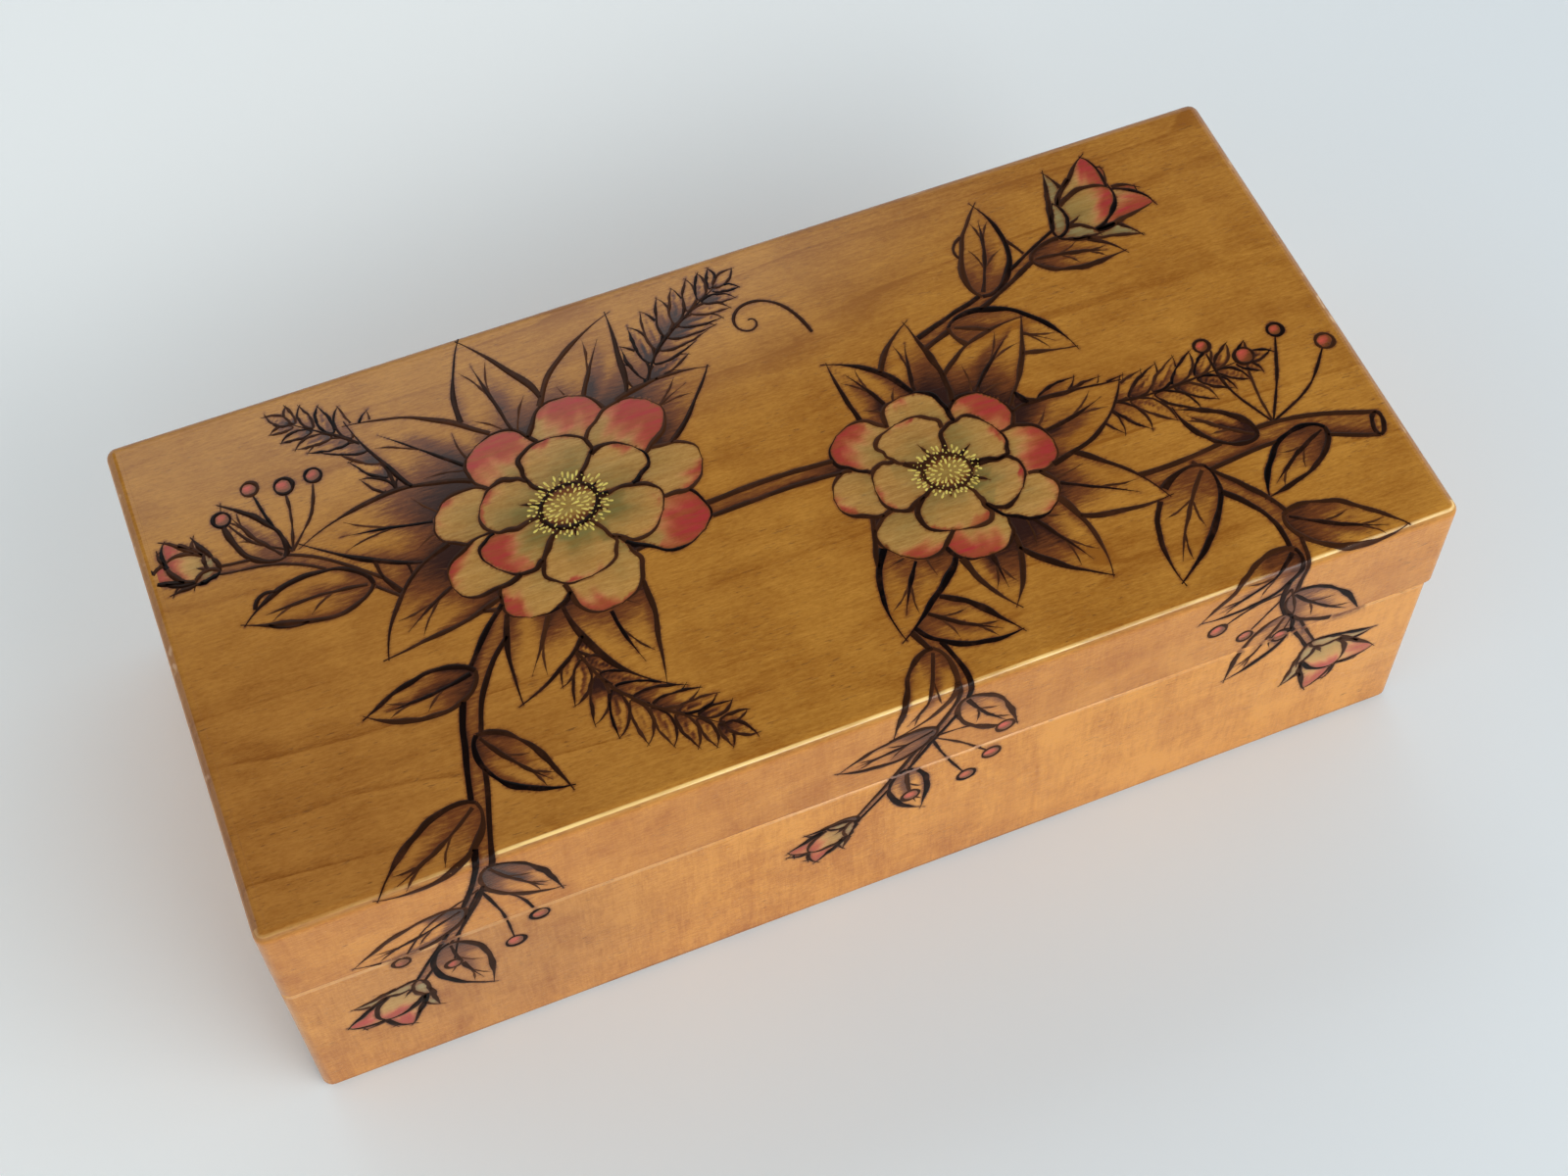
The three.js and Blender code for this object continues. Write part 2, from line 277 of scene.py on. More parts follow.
def petal_tone(red, green):
    """Thin cream over the wood, olive green at the foot, and red at the tip of some."""
    slope = rng.uniform(-0.3, 0.3)
    phase = phases()
    wash = rng.uniform(0.6, 1.25)
    reach = rng.uniform(0.75, 1.3)

    def tone(u, w):
        streak = 0.05 * np.sin(5 * w + phase[0]) + 0.03 * np.sin(13 * w + 4 * u + phase[1])
        tip = smooth(1.05 - 0.5 * red, 1.4 - 0.24 * red, u + slope * w + streak + 0.2)
        spread = smooth(reach, 0.2, u + slope * w + 0.15 * np.abs(w) + streak)
        foot = np.clip(1.2 * green * wash * spread, 0, 1)
        colour = blend(CREAM, OLIVE, foot)
        colour = blend(colour, PINK, smooth(0.0, 0.6, tip))
        colour = blend(colour, ROSE, smooth(0.15, 0.8, tip))
        cover = np.clip(0.46 + 0.38 * foot + 0.46 * tip, 0, 0.9)
        scorch = 0.30 * smooth(0.25, 0.0, u) + 0.10 * smooth(0.75, 1.0, np.abs(w)) * (1 - u)
        return scorch, painted(colour, cover)

    return tone


def branch(course, thick, thin):
    """A stem through the points of its course, with its half width at the start and at the end."""
    centre = through(course, 90)
    t = np.linspace(0, 1, len(centre))
    width = (thick + (thin - thick) * t) * (1 + 0.15 * wander(len(t), (3, 5, 8, 11)))
    n = normals(centre)
    left, right = centre + n * width[:, None], centre - n * width[:, None]
    side = rng.choice([-1, 1])

    def tone(u, w):
        ragged = 0.3 * np.sin(60 * u) * np.sin(23 * u)
        return 0.32 + 0.4 * smooth(0.1, 1.0, w * side + ragged), BARE

    fill(left, right, tone)
    stroke(left, 0.5, 0.9, 0.6, 0.15)
    stroke(right, 0.575, 0.9, 0.6, 0.15)
    return centre


def cut_end(stem, half):
    """A ring that closes the sawn end of a stem."""
    across = normals(stem)[0] * half
    c, s = circle(30)
    stroke(stem[0] + np.outer(c, across) + np.outer(s, left_of(across) * -0.42), 0.5, 0.9, 0.7, 0.1)


def shade(at, radius):
    """A burnt shadow on what is there so far."""
    dx, dv = np.meshgrid(GRID_X - at[0], GRID_V - at[1])
    turn = np.arctan2(dv, dx)
    waves = zip((0.14, 0.10, 0.06), (3, 7, 13), phases())
    rough = 1 + sum(size * np.sin(count * turn + phase) for size, count, phase in waves)
    blot = smooth(1.0, 0.45, np.hypot(dx, dv * 1.15) / (radius * rough)) * (OWNER > 0)
    np.maximum(SCORCH, blot, out=SCORCH)


def tendril(start, angle, size, turns, hand):
    """A stroke that rolls up to the left for hand 1, or to the right for hand -1."""
    t = np.linspace(0, 1, 90)
    heading = math.radians(angle) + hand * 2 * np.pi * turns * t**1.7
    step = np.stack([np.cos(heading), np.sin(heading)], 1) * (1 - 0.82 * t)[:, None]
    new_layer()
    stroke(start + size * np.cumsum(step, 0) / 24, 0.38, 0.8, 0.35, 0.05, 0.9)


def berries(base, angle, count, size):
    """Small fruits on thin stalks that fan out from one point."""
    spread = np.linspace(-0.62, 0.62, count) + rng.uniform(-0.08, 0.08, count)
    for turn in rng.permutation(spread):
        out = way(math.radians(angle) + turn)
        long = size * rng.uniform(0.8, 1.15)
        tip = base + long * out
        bow = (base + tip) / 2 + 0.16 * turn * long * left_of(out)
        new_layer()
        stroke(through([base, bow, tip], 16), 0.3, 0.9, 0.5, 0.05)
        berry(tip, rng.uniform(1.35, 1.8))


def berry(at, radius):
    t = np.linspace(0, np.pi, 26)
    d = way(rng.uniform(0, 6.28))
    n = left_of(d)
    left = at + radius * (np.outer(-np.cos(t), d) + np.outer(np.sin(t), n))
    right = at + radius * (np.outer(-np.cos(t), d) - np.outer(np.sin(t), n))

    def tone(u, w):
        """Lit from the upper left."""
        out = w * np.sqrt(np.maximum(1 - (2 * u - 1) ** 2, 0))
        x, y = ((2 * u - 1) * d[i] + out * n[i] for i in (0, 1))
        lit = smooth(1.3, 0.1, np.hypot(x + 0.3, y - 0.35))
        return 0.5 * (1 - lit), painted(blend(BERRY_DARK, BERRY_LIGHT, lit), 0.85)

    fill(left, right, tone)
    stroke(np.vstack([left, right[::-1]]), 0.36, 0.8, 0.7, 0.05)


def fern(controls, count, size):
    centre = through(controls, 80)
    n, d = normals(centre), tangents(centre)
    last = len(centre) - 1
    for i in range(count):
        t = 0.12 + 0.84 * i / (count - 1)
        k = int(t * last)
        long = size * (0.35 + 0.65 * math.sin(math.pi * (0.22 + 0.72 * t)))
        for sign in (1, -1):
            start = centre[k] + sign * n[k] * 0.4
            end = start + (d[k] * 0.75 + sign * n[k] * 0.66) * long
            tone = leaf_tone(rng.uniform(0.5, 1.1))
            blade(start, end, long * 0.34, -0.16 * sign, (0.7, 0.9), tone, FERN_HALF, flick=0.6)
    end = centre[last] + d[last] * size * 0.5
    blade(centre[last - 2], end, size * 0.25, 0, (0.7, 0.9), leaf_tone(0.8), FERN_HALF)
    new_layer()
    stroke(centre, FERN_HALF * 1.1, 1.0, 0.3)


def tulip(at, angle, size, open_, red):
    """A half-open bud that points along angle, size long."""
    right = way(math.radians(angle - 90))

    def leaf(start, end, width, bend, profile, tone, half=0.55, midrib=0.0):
        base, tip = (at + size * (x * right + y * left_of(right)) for x, y in (start, end))
        blade(base, tip, size * width, bend, profile, tone, half, midrib)

    for sign in (1, -1):
        tip = (0.62 * sign * open_, 0.52)
        leaf((0.05 * sign, -0.02), tip, 0.2, 0.22 * sign, (0.6, 0.9), sepal_tone, 0.5)
    for sign, x, y in ((1, 0.2, 0.98), (-1, -0.22, 0.96)):
        leaf((0, 0.05), (x * open_, y), 0.42, -0.08 * sign, (0.8, 0.62), petal_tone(red, 0.3))
    for sign in (-1, 1):
        tone = petal_tone(red, 0.55)
        leaf((0.04 * sign, 0), (0.46 * sign * open_, 0.94), 0.46, 0.3 * sign, (0.62, 0.72), tone)
    leaf((0, -0.02), (0.02, 0.8), 0.5, 0.02, (0.62, 0.6), petal_tone(red * 0.8, 0.6), midrib=0.45)
    for sign in (1, -1):
        leaf((0, -0.05), (0.3 * sign, 0.26), 0.17, 0.2 * sign, (0.6, 0.8), sepal_tone, 0.45)


def daisy(at, radius, outer, inner, squash, red):
    """An open flower with two rings of petals, seen a little from the side."""
    flat, lean = squash
    c, s = way(math.radians(lean))

    def shift(p):
        q = p - at
        a, b = q[:, 0] * c + q[:, 1] * s, (-q[:, 0] * s + q[:, 1] * c) * flat
        return np.stack([a * c - b * s, a * s + b * c], 1) + at

    rings = ((outer, 1.0, 0.12, 0.0, 0.55, red), (inner, 0.66, 0.10, 0.5, 0.52, red * 0.6))
    for count, reach, foot, offset, breadth, blush in rings:
        for i in rng.permutation(count):
            d = way(2 * np.pi * (i + offset) / count + rng.uniform(-0.06, 0.06))
            far = radius * reach * rng.uniform(0.93, 1.05)
            broad = 2 * np.pi * far / count * breadth * 1.35
            reddened = rng.random() < blush
            strength = rng.uniform(0.55, 1.0) if reddened else rng.uniform(0.0, 0.12)
            bend = rng.uniform(-0.1, 0.1)
            tone = petal_tone(strength, 0.85)
            midrib = 0.5 if rng.random() < 0.6 else 0.35
            base = at + d * radius * foot
            blade(base, at + d * far, broad, bend, (0.85, 0.4), tone, 0.46, midrib, 0, 0.3, 0.1, shift)
    ring = shift(at + radius * 0.2 * np.stack(circle(40), 1))
    fill(ring[:20], ring[20:][::-1], heart_tone)
    stroke(ring, 0.5, 0.9, 0.9, 0.1)
    spots = radius * 5.5
    for i in range(int(spots)):
        reach = radius * 0.27 * math.sqrt((i + 0.5) / spots)
        p = shift(at + reach * way(GOLDEN_ANGLE * i)[None])[0]
        out = (p - at) / max(np.hypot(*(p - at)), 1e-6)
        end = p + out * rng.uniform(0.5, 1.3) + rng.uniform(-0.2, 0.2, 2)
        dabs.append((p, end))


def cells(points):
    """The column and row of each point."""
    return ((points - (GRID_X[0], GRID_V[0])) / STEP).round().astype(int).T


def visible():
    """The parts of the strokes that no later shape covers."""
    runs = []
    for points, width, level, tone in strokes:
        column, row = cells(points)
        column, row = np.clip(column, 0, len(GRID_X) - 1), np.clip(row, 0, len(GRID_V) - 1)
        for a, b in stretches(OWNER[row, column] <= level):
            runs.append((points[a:b], width[a:b], tone))
    return runs


def halo(runs):
    """The brown that the strokes leave in the wood beside them."""
    around = range(-HALO_CELLS, HALO_CELLS + 1)
    glow = np.zeros_like(SCORCH)
    for points, width, tone in runs:
        first_column, first_row = cells(points)
        for i, j in ((i, j) for i in around for j in around):
            column, row = first_column + j, first_row + i
            ok = (column >= 0) & (column < len(GRID_X)) & (row >= 0) & (row < len(GRID_V))
            dx = GRID_X[0] + column * STEP - points[:, 0]
            dv = GRID_V[0] + row * STEP - points[:, 1]
            beside = np.maximum(np.hypot(dx, dv) - width, 0)
            value = tone * (0.42 * np.exp(-beside / 0.16) + 0.07 * np.exp(-((beside / 0.8) ** 2)))
            np.maximum.at(glow, (row[ok], column[ok]), value[ok])
    SCORCH[:] = np.maximum(SCORCH, glow) + 0.25 * np.minimum(SCORCH, glow)


def side_leaves(stem, spots, size):
    """Leaves along a stem. Each spot gives a place from 0 to 1, a side, a scale and an angle to the stem."""
    n, t = normals(stem), tangents(stem)
    for at, sign, scale, angle in spots:
        k = int(at * (len(stem) - 1))
        c, s = way(math.radians(angle))
        base = stem[k] + sign * n[k] * 0.6
        long = size * scale
        tone = leaf_tone(rng.uniform(0.5, 1.0))
        tip = base + (t[k] * c + sign * n[k] * s) * long
        blade(base, tip, long * 0.42, -0.1 * sign, (0.62, 0.95), tone, 0.56, 0.86, 2)


def wreath(at, size, leaves):
    """Leaves round a flower. Each has an angle and a scale."""
    for angle, scale in leaves:
        out = way(math.radians(angle))
        long = size * scale
        bend = rng.uniform(-0.16, 0.16)
        blade(at + out * 7, at + out * long, long * 0.36, bend, (0.6, 0.95), leaf_tone(0.95), 0.56, 0.86, 2)


# The garland across the top, with sprigs that hang over the front. First comes what lies furthest back:
# ferns and tendrils.

for made in (
    ([(-16, 22), (-8, 34), (6, 43)], 9, 9),
    ([(44, 0), (62, -8), (86, -8)], 10, 9),
    ([(-44, -14), (-38, -30), (-24, -42)], 9, 9),
    ([(-60, 18), (-62, 32), (-74, 43)], 8, 8),
):
    fern(*made)
for made in (((18, 26), 100, 13, 1.3, 1), ((-76, 4), 200, 12, 1.3, -1), ((60, 28), 110, 11, 1.2, 1)):
    tendril(*made)

# Stems: their course, their half widths, the size of their leaves, and the leaves
stems = (
    ([(100.5, -29), (84, -24), (52, -24), (20, -4), (-16, -2), (-52, -6), (-78, 14), (-93, 18)], 2.2, 0.8, 20,
     [(0.05, 1, 0.9, 50), (0.1, -1, 0.75, 44), (0.16, 1, 1.2, 50), (0.27, -1, 1.3, 52), (0.83, -1, 1.1, 48),
      (0.87, 1, 1.1, 44), (0.95, -1, 0.8, 40)]),
    ([(20, -2), (30, 14), (50, 22), (68, 31)], 1.7, 0.8, 19,
     [(0.5, -1, 1.2, 50), (0.66, 1, 1.1, 48), (0.86, -1, 0.9, 42)]),
    ([(-46, -4), (-60, -20), (-66, -42), (-72, -62), (-84, -84)], 1.8, 0.8, 19,
     [(0.2, -1, 1, 50), (0.34, 1, 0.95, 52), (0.47, -1, 1.15, 48), (0.6, 1, 1, 50), (0.74, -1, 1.1, 46),
      (0.86, 1, 1.1, 44)]),
    ([(16, -8), (10, -30), (14, -50), (6, -66), (-6, -84)], 1.6, 0.6, 18,
     [(0.3, 1, 1.1, 50), (0.42, -1, 1.1, 50), (0.56, 1, 1, 50), (0.66, -1, 1, 46), (0.8, 1, 0.9, 44),
      (0.97, -1, 0.8, 30)]),
    ([(66, -25), (76, -40), (74, -60), (82, -80)], 1.7, 0.8, 19,
     [(0.3, 1, 1.1, 50), (0.42, -1, 1.1, 50), (0.6, 1, 1.1, 48), (0.72, -1, 1, 48)]),
)
grown = [branch(*stem[:3]) for stem in stems]
for centre, (*_, size, leaves) in zip(grown, stems):
    side_leaves(centre, leaves, size)
for made in (
    ((-80, 17), 95, 4, 15), ((84, -22), 70, 4, 18), ((-70, -58), 265, 4, 22), ((8, -62), 300, 4, 18),
    ((74, -56), 235, 3, 16),
):
    berries(*made)

# Buds at the ends of the stems
for made in (
    ((68, 30), 28, 18, 1, 0.85), ((-93, 18), 150, 11, 0.8, 0.9), ((82, -79), 300, 16, 1, 0.8),
    ((-84, -83), 235, 15, 0.9, 0.85), ((-6, -83), 215, 12, 0.8, 0.9),
):
    tulip(*made)

# The two open flowers with their leaves
LEFT, RIGHT = (-34, 8), (28, -10)
wreath(LEFT, 41, [(100, 1), (135, 1.05), (168, 1.1), (205, 1), (240, 0.95), (275, 0.95), (62, 1), (30, 0.9)])
wreath(RIGHT, 36, [(330, 1.05), (300, 0.95), (270, 0.8), (235, 0.95), (10, 1), (45, 1), (80, 0.9),
                   (110, 0.85)])
shade(LEFT, 35)
shade(RIGHT, 30)
daisy(RIGHT, 21, 8, 5, (0.85, -20), 0.25)
daisy(LEFT, 26, 9, 6, (0.82, 15), 0.5)
cut_end(grown[0], 2.35)


# Colours, figures, wear, and painted light and shade. Heights are in millimetres above the table.

PORE = (0.085, 0.030, 0.007)
SINGED, CHAR = (0.15, 0.043, 0.009), (0.024, 0.006, 0.003)
# A brown for painted shade: in the seam, along the base's foot and over the lid walls' rounded rims
PAINTED_SHADE_BROWN = (0.20, 0.065, 0.015)
# Painted highlights: a pale one along the base's rim at the seam and a gold one along the lid's front edge;
# and a tan for worn chips
PAINTED_HIGHLIGHT_PALE, PAINTED_HIGHLIGHT_GOLD, WORN_TAN = (0.86, 0.58, 0.29), (0.95, 0.68, 0.26), (0.66, 0.42, 0.21)
STROKE_BLACK, STROKE_WARM = (0.0015, 0.0008, 0.001), (0.030, 0.010, 0.005)
STROKE_FAINT = (0.13, 0.044, 0.014)
DAB_YELLOW, DAB_OCHRE = (0.70, 0.58, 0.10), (0.50, 0.36, 0.05)
BRASS_BRIGHT, BRASS_DULL = (0.70, 0.50, 0.19), (0.42, 0.27, 0.09)
FELT_DARK, FELT_LIGHT, FELT_SHEEN = (0.085, 0.006, 0.012), (0.33, 0.040, 0.050), (0.9, 0.45, 0.45, 1)
# The floor's colour, and its lighter colour towards the back, which is painted light
FLOOR_COLOUR, FLOOR_BACK_PAINTED_LIGHT = (0.735, 0.80, 0.84), (0.94, 0.99, 1.0)

# The light and the dark colour of each kind of board
TOP_COLOURS = (0.485, 0.222, 0.033), (0.275, 0.098, 0.009)
RIM_COLOURS = (0.49, 0.226, 0.034), (0.29, 0.104, 0.010)
LID_COLOURS = (0.56, 0.238, 0.046), (0.35, 0.113, 0.017)
BASE_COLOURS = (0.63, 0.272, 0.050), (0.38, 0.125, 0.018)

# Bands of painted light and shade: height, reach, strength, colour, and the x from which they have full
# strength
WHOLE = -150                # left of the whole box
# Painted shade in the seam, along the lid's lower rim
SEAM_PAINTED_SHADE = (39.8, 0.5, 0.35, PAINTED_SHADE_BROWN, WHOLE)
# The lid: the seam's painted shade, and a painted highlight along its rounded front edge
LID_PAINTED_LIGHT = (SEAM_PAINTED_SHADE, (61.62, 0.24, 0.85, PAINTED_HIGHLIGHT_GOLD, -60))
# The base: a painted highlight along its rim at the seam, and painted shade along its foot
BASE_PAINTED_LIGHT = ((39.2, 0.6, 0.25, PAINTED_HIGHLIGHT_PALE, WHOLE), (0.3, 0.9, 0.7, PAINTED_SHADE_BROWN, WHOLE))

# Painted shade that darkens the wood towards the box's left front: the middle of each place, how far it
# reaches in full and at all, and its tint
TOP_PAINTED_SHADE = (-102, -44, 62), 8, 100, (0.80, 0.74, 0.90)
FRONT_PAINTED_SHADE = (-72, -50, 27), 8, 48, (0.74, 0.74, 0.95)

# Figures: growth rings about an axis that lies heart mm beside and below the board
TOP_BOARD = dict(seed=1, heart=(18, -66), spacing=3.3, rings=1.0, flecks=0.0)
LID_FRONT = dict(seed=2, heart=(-70, 30), spacing=2.6, rings=0.15, flecks=0.4)
BASE_FRONT = dict(seed=3, heart=(-80, 10), spacing=2.9, rings=0.15, flecks=0.6)
PLAIN_BOARDS = {
    "lid_back_wall": ("x", (60, 20), 2.8),
    "base_back_wall": ("x", (70, -10), 3.1),
    "lid_left_wall": ("y", (60, 10), 2.9),
    "base_left_wall": ("y", (75, 0), 3.2),
    "lid_right_wall": ("y", (-60, 20), 2.7),
    "base_right_wall": ("y", (-75, 15), 3.0),
    "base_bottom_panel": ("x", (25, -60), 3.6),
}


# Materials


class Net:
    """Shader nodes in one tree. Lengths in them are in millimetres."""

    def __init__(self, tree):
        self.tree = tree

    def put(self, socket, value):
        """Links another node's output to a socket, or sets the socket to a plain value."""
        if isinstance(value, bpy.types.NodeSocket):
            self.tree.links.new(value, socket)
        else:
            socket.default_value = value

    def add(self, kind, inputs=None, **settings):
        made = self.tree.nodes.new("ShaderNode" + kind)
        for name, value in settings.items():
            setattr(made, name, value)
        for key, value in (inputs or {}).items():
            self.put(made.inputs[key], value)
        return made

    def axes(self, vector):
        return self.add("SeparateXYZ", {0: vector}).outputs

    def vector(self, operation, *values, output=0):
        """output is 1 where the result is a number."""
        return self.add("VectorMath", dict(enumerate(values)), operation=operation).outputs[output]

    def math(self, operation, *values, clamp=False):
        return self.add("Math", dict(enumerate(values)), operation=operation, use_clamp=clamp).outputs[0]

    def times(self, *values):
        return reduce(lambda a, b: self.math("MULTIPLY", a, b), values)

    def plus(self, *values):
        return reduce(lambda a, b: self.math("ADD", a, b), values)

    def swing(self, value, *shares):
        """A value that runs about 0.5, moved to run about 0 and scaled."""
        return self.times(self.plus(value, -0.5), *shares)

    def band(self, value, low, high, start=0.0, end=1.0):
        """From start to end, smoothly, as value goes from low to high."""
        steps = {0: value, 1: low, 2: high, 3: start, 4: end}
        return self.add("MapRange", steps, interpolation_type="SMOOTHSTEP").outputs[0]

    def noise(self, stretch, detail, roughness, shift, distortion=0.0, place=None):
        """Noise whose features are about 1 / stretch mm along each axis."""
        at = self.vector("MULTIPLY_ADD", place or self.place, stretch, (shift, shift * 1.7, shift * 2.3))
        inputs = {"Vector": at, "Scale": 1, "Detail": detail, "Roughness": roughness}
        return self.add("TexNoise", {**inputs, "Distortion": distortion}).outputs[0]

    def mix(self, factor, a, b, blend="MIX"):
        """Mixes two colours."""
        a, b = ((*colour, 1) if isinstance(colour, tuple) else colour for colour in (a, b))
        return self.add("Mix", {0: factor, 6: a, 7: b}, data_type="RGBA", blend_type=blend).outputs[2]

    def attribute(self, name):
        return self.add("Attribute", attribute_name=name).outputs


class Finish(Net):
    """One material, with its shader and the place of each point in mm."""

    def __init__(self, name):
        self.material = bpy.data.materials.new(name)
        self.material.use_nodes = True
        super().__init__(self.material.node_tree)
        self.tree.nodes.clear()
        self.shader = self.add("BsdfPrincipled")
        self.add("OutputMaterial", {"Surface": self.shader.outputs[0]})
        self.place = self.vector("MULTIPLY", self.add("TexCoord").outputs["Object"], (1000, 1000, 1000))

    def done(self, colour, bump=None, **inputs):
        """The material with its shader set. bump holds a height, its unit in mm and its strength."""
        for name, value in {"Base_Color": colour, **inputs}.items():
            name = name.replace("_", " ").replace("Specular", "Specular IOR Level")
            self.put(self.shader.inputs[name], value)
        if bump:
            height, unit, strength = bump
            made = self.add("Bump", {"Height": height, "Distance": unit * MM, "Strength": strength})
            self.put(self.shader.inputs["Normal"], made.outputs[0])
        return self.material

    def patches(self, seed):
        """Broad uneven patches, for the varnish."""
        return self.noise((0.03, 0.05, 0.05), 3, 0.6, seed + 11)


def grain(net, place, seed, heart, spacing, rings, flecks):
    """The figure of a board: tone from 0, light, to 1, dark, then its pores and its fibre."""
    place = net.vector("ADD", place, (seed * 317.0, seed * 3.1, seed * 1.3))
    turned = {"Vector": place, "Rotation": (0, 0.014, 0.028)}
    slope = net.add("VectorRotate", turned, rotation_type="EULER_XYZ").outputs[0]

    def noise(along, across, detail, roughness, number, distortion=0.0):
        return net.noise((along, across, across), detail, roughness, seed + number, distortion, slope)

    # Growth rings: a band that darkens slowly, a thin dark line at its end, and where they show
    slow = noise(0.009, 0.022, 3, 0.5, 0)
    slower = noise(0.004, 0.05, 2, 0.5, 5)
    _, beside, above = net.axes(slope)
    across = net.plus(beside, net.times(slow, 26.0), -heart[0] - 13 - seed * 3.1)
    down = net.plus(above, net.times(slower, 14.0), -heart[1] - 7 - seed * 1.3)
    radius = net.math("SQRT", net.plus(net.times(across, across), net.times(down, down)))
    phase = net.math("FRACT", net.math("DIVIDE", radius, spacing))
    late = net.times(net.band(phase, 0.5, 0.95), net.band(phase, 0.965, 0.995, 1, 0))
    line = net.times(net.band(phase, 0.88, 0.95), net.band(phase, 0.965, 0.99, 1, 0))
    shown = net.band(noise(0.012, 0.09, 2, 0.5, 9), 0.38, 0.66, 0.1, 1.0)

    # Fibre, and short dark pores in patches
    fibre = noise(0.14, 1.7, 4, 0.66, 2)
    fine = noise(0.8, 3.2, 3, 0.75, 14)
    dashes = net.band(noise(0.5, 3.4, 2, 0.5, 3), 0.63, 0.72)
    fewest = 0.05 if flecks else 0.25
    few = net.band(noise(0.04, 0.12, 2, 0.5, 4), 0.38, 0.64, fewest, 1.0)
    pores = net.times(dashes, few)

    # Cloudy shades, from spots to patches as long as a hand
    mottle = noise(0.055, 0.12, 4, 0.55, 6, 0.7)
    figure = noise(0.05, 0.014, 2, 0.55, 12, 1.0)
    broad = noise(0.007, 0.014, 2, 0.5, 7)
    tone = net.plus(
        net.swing(mottle, 1.15),
        net.swing(figure, 0.85 - 0.4 * flecks),
        net.swing(broad, 1.1),
        net.swing(fibre, 1.0 - 0.9 * flecks),
        net.swing(fine, 1.5),
        net.times(late, shown, 0.26 * rings),
        net.times(line, shown, 0.34 * rings),
        0.42,
    )
    if flecks:
        # Upright streaks, as on wood cut across the rays
        streak = net.noise((1.3, 1.3, 0.14), 5, 0.8, seed + 8, 0.5, place)
        patch = net.noise((0.15, 0.15, 0.05), 3, 0.6, seed + 10, 0.8, place)
        tone = net.plus(tone, net.swing(streak, flecks * 2.3), net.swing(patch, flecks * 2.0))
    return tone, pores, net.plus(net.times(fibre, 0.4), net.times(fine, 0.6))


def drawn_over(net, place, seed, fibre, colour, height):
    """The wood's colour and height with the drawing's paint and scorch on it."""
    paint, scorch = net.attribute("paint"), net.attribute("scorch")["Fac"]
    brushed = net.plus(fibre, net.noise((0.1, 0.9, 0.9), 4, 0.65, seed + 17, 0.0, place))
    cover = net.times(paint["Alpha"], net.band(brushed, 0.75, 1.25, 1.0, 0.7))
    bright = net.mix(net.band(brushed, 0.7, 1.3), (1.08, 1.07, 1.05), (0.72, 0.72, 0.66))
    colour = net.mix(cover, colour, net.mix(1.0, paint["Color"], bright, "MULTIPLY"))
    ragged = net.noise((0.35, 2.0, 2.0), 5, 0.75, seed + 12, 0.0, place)
    partly = net.times(scorch, net.math("SUBTRACT", 1.0, scorch, clamp=True), 3.2)
    burn = net.plus(scorch, net.swing(ragged, net.plus(partly, 0.25), net.band(scorch, 0, 0.12)))
    colour = net.mix(net.band(burn, 0.0, 0.5), colour, SINGED)
    colour = net.mix(net.band(burn, 0.38, 0.95), colour, CHAR)
    return colour, net.plus(height, net.times(burn, -0.5), net.times(paint["Alpha"], 0.3))


